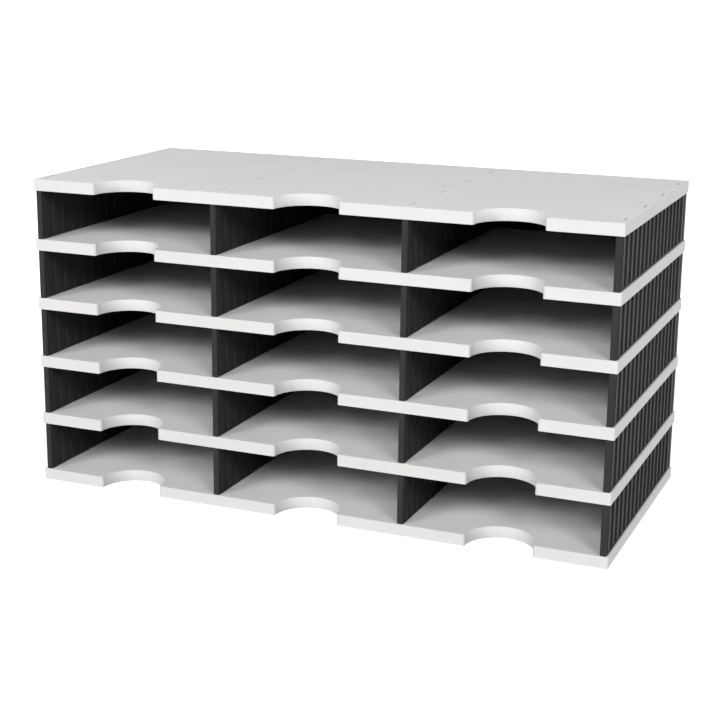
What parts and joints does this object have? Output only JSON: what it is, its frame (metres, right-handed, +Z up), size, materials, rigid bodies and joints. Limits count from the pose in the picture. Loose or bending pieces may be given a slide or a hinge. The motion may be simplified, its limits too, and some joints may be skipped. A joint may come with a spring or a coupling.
{
  "type": "pigeonhole mail sorter",
  "caption": "Desktop pigeonhole mail sorter: stacked pale plates with finger notches, held apart by black ribbed plug-in walls and closed at the rear by sliding panels.",
  "frame": {"origin": "on the desk, at the middle of the base plate's underside", "axes": "+X along the columns to the user's right, +Y from the open front to the back, +Z up"},
  "size_m": [0.723, 0.335, 0.3815],
  "materials": {
    "plate_plastic": "fine satin grain, light grey",
    "wall_plastic": "satin black",
    "panel_plastic": "satin black"
  },
  "bodies": {
    "root": {"base_plate": "plate_plastic", "shelf_plate_1": "plate_plastic", "shelf_plate_2": "plate_plastic", "shelf_plate_3": "plate_plastic", "shelf_plate_4": "plate_plastic", "top_plate": "plate_plastic", "tier_1_left_wall": "wall_plastic", "tier_1_partition_1": "wall_plastic", "tier_1_partition_2": "wall_plastic", "tier_1_right_wall": "wall_plastic", "tier_2_left_wall": "wall_plastic", "tier_2_partition_1": "wall_plastic", "tier_2_partition_2": "wall_plastic", "tier_2_right_wall": "wall_plastic", "tier_3_left_wall": "wall_plastic", "tier_3_partition_1": "wall_plastic", "tier_3_partition_2": "wall_plastic", "tier_3_right_wall": "wall_plastic", "tier_4_left_wall": "wall_plastic", "tier_4_partition_1": "wall_plastic", "tier_4_partition_2": "wall_plastic", "tier_4_right_wall": "wall_plastic", "tier_5_left_wall": "wall_plastic", "tier_5_partition_1": "wall_plastic", "tier_5_partition_2": "wall_plastic", "tier_5_right_wall": "wall_plastic", "tier_1_back_panel_1": "panel_plastic", "tier_1_back_panel_2": "panel_plastic", "tier_1_back_panel_3": "panel_plastic", "tier_2_back_panel_1": "panel_plastic", "tier_2_back_panel_2": "panel_plastic", "tier_2_back_panel_3": "panel_plastic", "tier_3_back_panel_1": "panel_plastic", "tier_3_back_panel_2": "panel_plastic", "tier_3_back_panel_3": "panel_plastic", "tier_4_back_panel_1": "panel_plastic", "tier_4_back_panel_2": "panel_plastic", "tier_4_back_panel_3": "panel_plastic", "tier_5_back_panel_1": "panel_plastic", "tier_5_back_panel_2": "panel_plastic", "tier_5_back_panel_3": "panel_plastic"}
  },
  "joints": []
}
